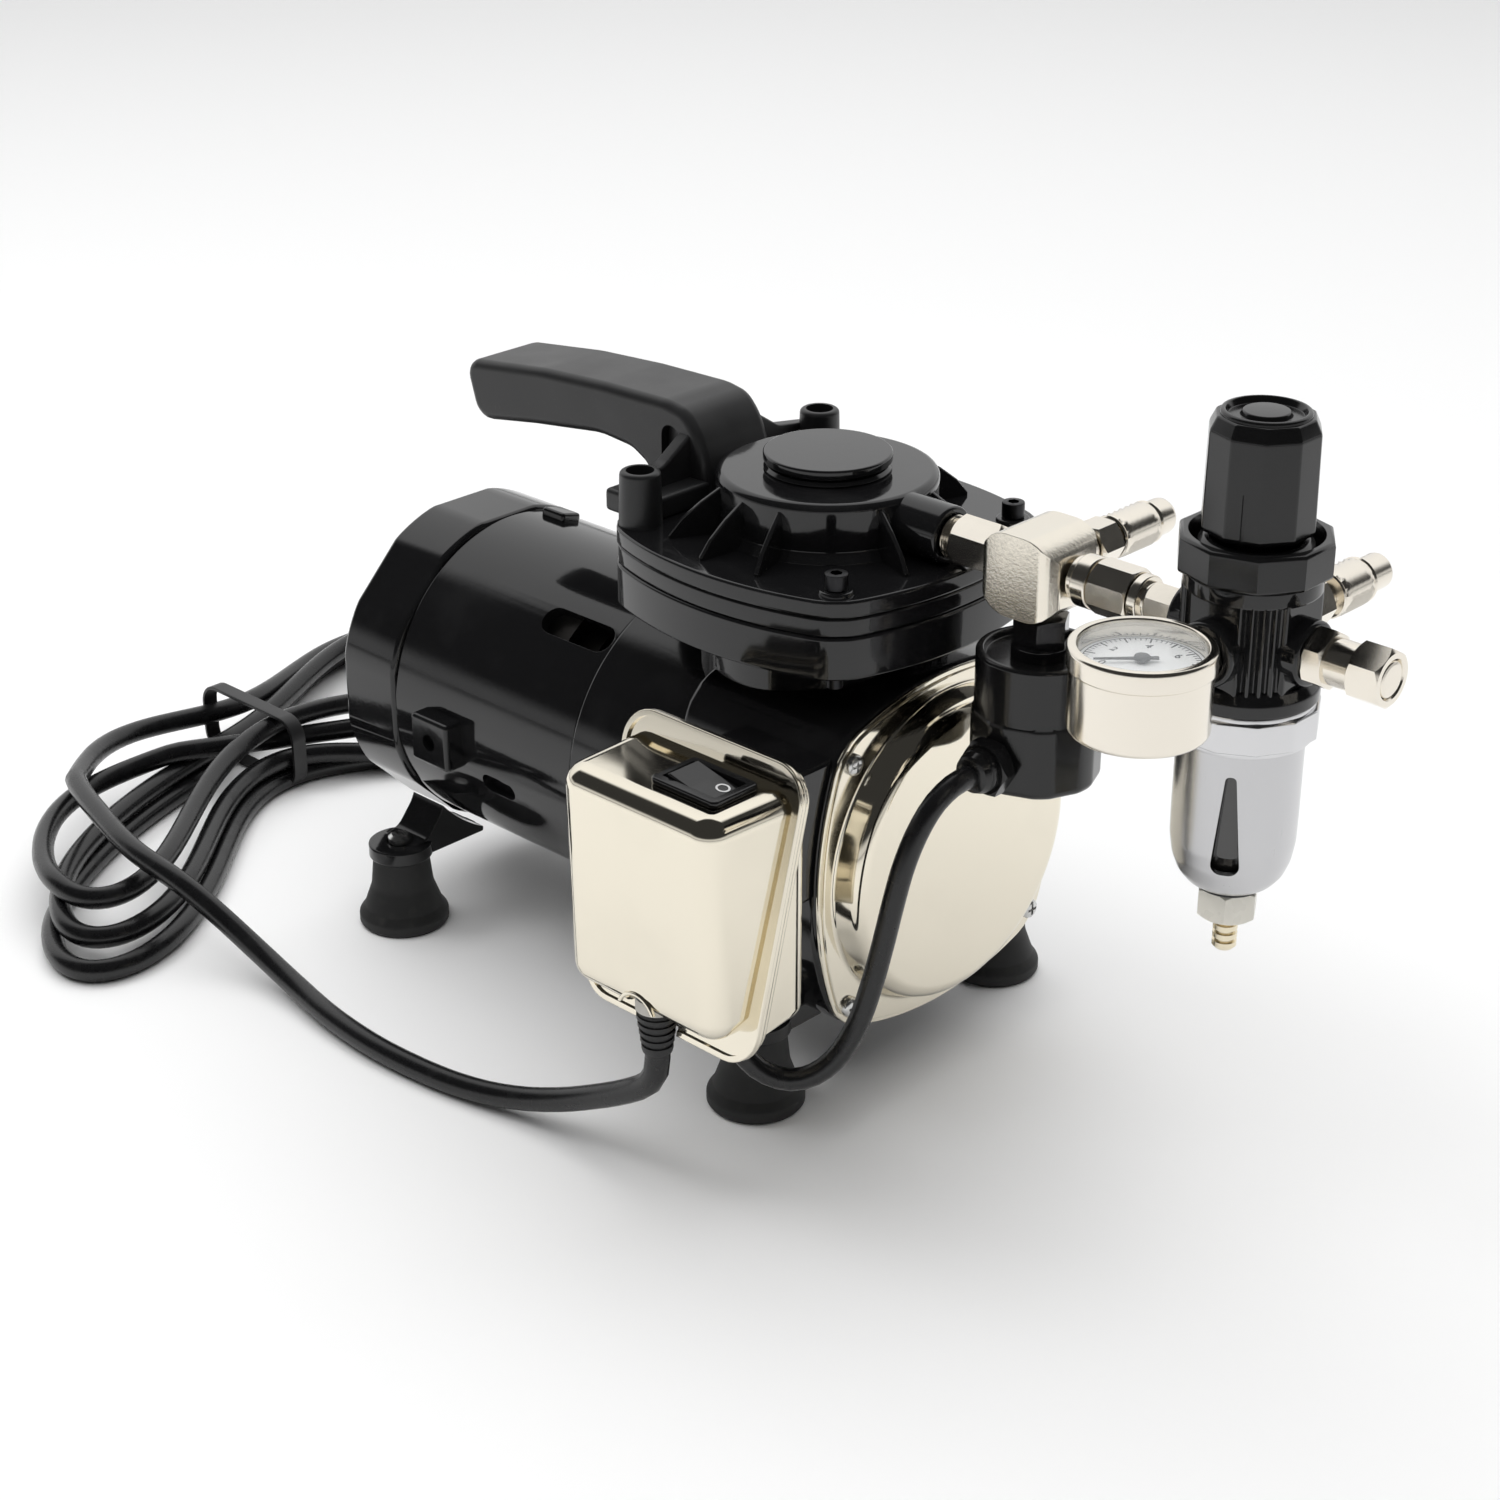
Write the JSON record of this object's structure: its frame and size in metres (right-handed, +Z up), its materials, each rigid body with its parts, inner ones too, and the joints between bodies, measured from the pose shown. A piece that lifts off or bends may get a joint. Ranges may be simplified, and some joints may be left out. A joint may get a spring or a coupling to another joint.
{
  "type": "airbrush compressor",
  "caption": "Compact oil-free airbrush compressor with carry handle, nickel switch box, pressure switch, filter-regulator with gauge, rubber feet and a tied mains cord.",
  "frame": {"origin": "on the floor under the middle of the compressor's own box, leaving out the mains cord", "axes": "+X along the motor shaft toward the regulator and hose outlet, -Y toward the switch box side, +Z up"},
  "size_m": [0.454, 0.277, 0.199],
  "materials": {
    "gloss_black": "gloss black enamel over die-cast aluminium, with a light orange peel",
    "satin_black_plastic": "satin black moulded nylon",
    "polished_nickel": "polished nickel plate on pressed steel, slightly warm",
    "nickel_fittings": "nickel-plated brass, cast on the block and turned on the fittings",
    "black_oxide_steel": "black oxide socket screws",
    "zinc_steel": "zinc-plated steel",
    "bearing_steel": "ground steel",
    "electrical_steel": "stacked electrical steel with varnished copper windings",
    "cast_aluminium": "die-cast aluminium",
    "black_rubber": "matte black rubber",
    "cord_jacket": "satin black flexible cord jacket",
    "felt": "pressed filter felt",
    "white_plastic": "white printed plastic and enamel",
    "needle_black": "black painted pointer",
    "clear_window": "clear flat window",
    "satin_chrome": "satin chrome bowl guard",
    "silver_ring": "bright silver clamp ring with shallow facets",
    "brass": "plated brass drain pin"
  },
  "bodies": {
    "compressor": {"motor_housing": "gloss_black", "rear_end_bell": "gloss_black", "crankcase": "gloss_black", "cylinder_block": "gloss_black", "valve_plate": "gloss_black", "cylinder_head": "gloss_black", "intake_cap": "gloss_black", "intake_filter": "felt", "handle": "satin_black_plastic", "handle_screws": "black_oxide_steel", "head_screws": "black_oxide_steel", "front_cover": "polished_nickel", "front_cover_screws": "zinc_steel", "bearings": "bearing_steel", "stator": "electrical_steel", "foot_front_near": "black_rubber", "foot_front_far": "black_rubber", "foot_rear_near": "black_rubber", "foot_rear_far": "black_rubber", "foot_screws": "zinc_steel", "front_foot_bracket": "gloss_black", "rear_foot_bracket": "gloss_black", "switch_box_base": "polished_nickel", "switch_box_cover": "polished_nickel", "rocker_frame": "satin_black_plastic", "run_capacitor": "white_plastic", "cord_gland": "black_rubber", "outlet_nipple": "nickel_fittings", "manifold_block": "nickel_fittings", "bleed_valve_body": "nickel_fittings", "switch_adapter": "gloss_black", "pressure_switch": "satin_black_plastic", "switch_gland": "satin_black_plastic", "switch_lead": "cord_jacket", "lead_gland": "black_rubber", "line_coupler": "nickel_fittings", "regulator_body": "gloss_black", "bonnet_ring": "gloss_black", "gauge_case": "nickel_fittings", "gauge_dial": "white_plastic", "gauge_glass": "clear_window", "bowl_ring": "silver_ring", "filter_bowl": "satin_chrome", "filter_element": "felt", "drain_body": "nickel_fittings", "hose_outlet": "nickel_fittings", "rear_coupler": "nickel_fittings", "power_cord": "cord_jacket", "cord_hank": "cord_jacket", "plug": "cord_jacket"},
    "rocker": {"rocker": "satin_black_plastic"},
    "rotor": {"motor_shaft": "bearing_steel", "rotor_core": "electrical_steel"},
    "piston": {"connecting_rod": "cast_aluminium"},
    "pressure_screw": {"adjusting_screw": "zinc_steel"},
    "knob": {"regulator_knob": "satin_black_plastic"},
    "needle": {"gauge_needle": "needle_black"},
    "bleed_ring": {"bleed_valve_ring": "nickel_fittings"},
    "coupler_sleeve": {"rear_coupler_sleeve": "nickel_fittings"},
    "drain": {"drain_pin": "brass"}
  },
  "joints": [
    {"name": "rocker_tip", "type": "hinge", "parent": "compressor", "child": "rocker", "pos_m": [0.0275, -0.064, 0.1065], "axis": [0, 1, 0], "range_deg": [-22, 0]},
    {"name": "rotor_spin", "type": "hinge", "parent": "compressor", "child": "rotor", "pos_m": [-0.0108, 0.019, 0.0645], "axis": [1, 0, 0], "continuous": true},
    {"name": "piston_stroke", "type": "slide", "parent": "compressor", "child": "piston", "axis": [0, 0, 1], "range_m": [-0.003, 0.003]},
    {"name": "pressure_turn", "type": "hinge", "parent": "compressor", "child": "pressure_screw", "pos_m": [0.116, 0.019, 0.17], "axis": [0, 0, 1], "range_deg": [0, 900]},
    {"name": "knob_pull", "type": "slide", "parent": "pressure_screw", "child": "knob", "axis": [0, 0, 1], "range_m": [0, 0.003]},
    {"name": "needle_sweep", "type": "hinge", "parent": "compressor", "child": "needle", "pos_m": [0.116, -0.021, 0.153], "axis": [0, 0, 1], "range_deg": [-270, 0], "stiffness_Nm_per_rad": 0.0002},
    {"name": "bleed_turn", "type": "hinge", "parent": "compressor", "child": "bleed_ring", "pos_m": [0.058, 0.0515, 0.1466], "axis": [0, 1, 0], "range_deg": [0, 180]},
    {"name": "sleeve_pull", "type": "slide", "parent": "compressor", "child": "coupler_sleeve", "axis": [0, 1, 0], "range_m": [-0.0035, 0], "stiffness_N_per_m": 150, "springref_m": 0.002},
    {"name": "drain_push", "type": "slide", "parent": "compressor", "child": "drain", "axis": [0, 0, 1], "range_m": [0, 0.0014], "stiffness_N_per_m": 300, "springref_m": -0.003}
  ]
}
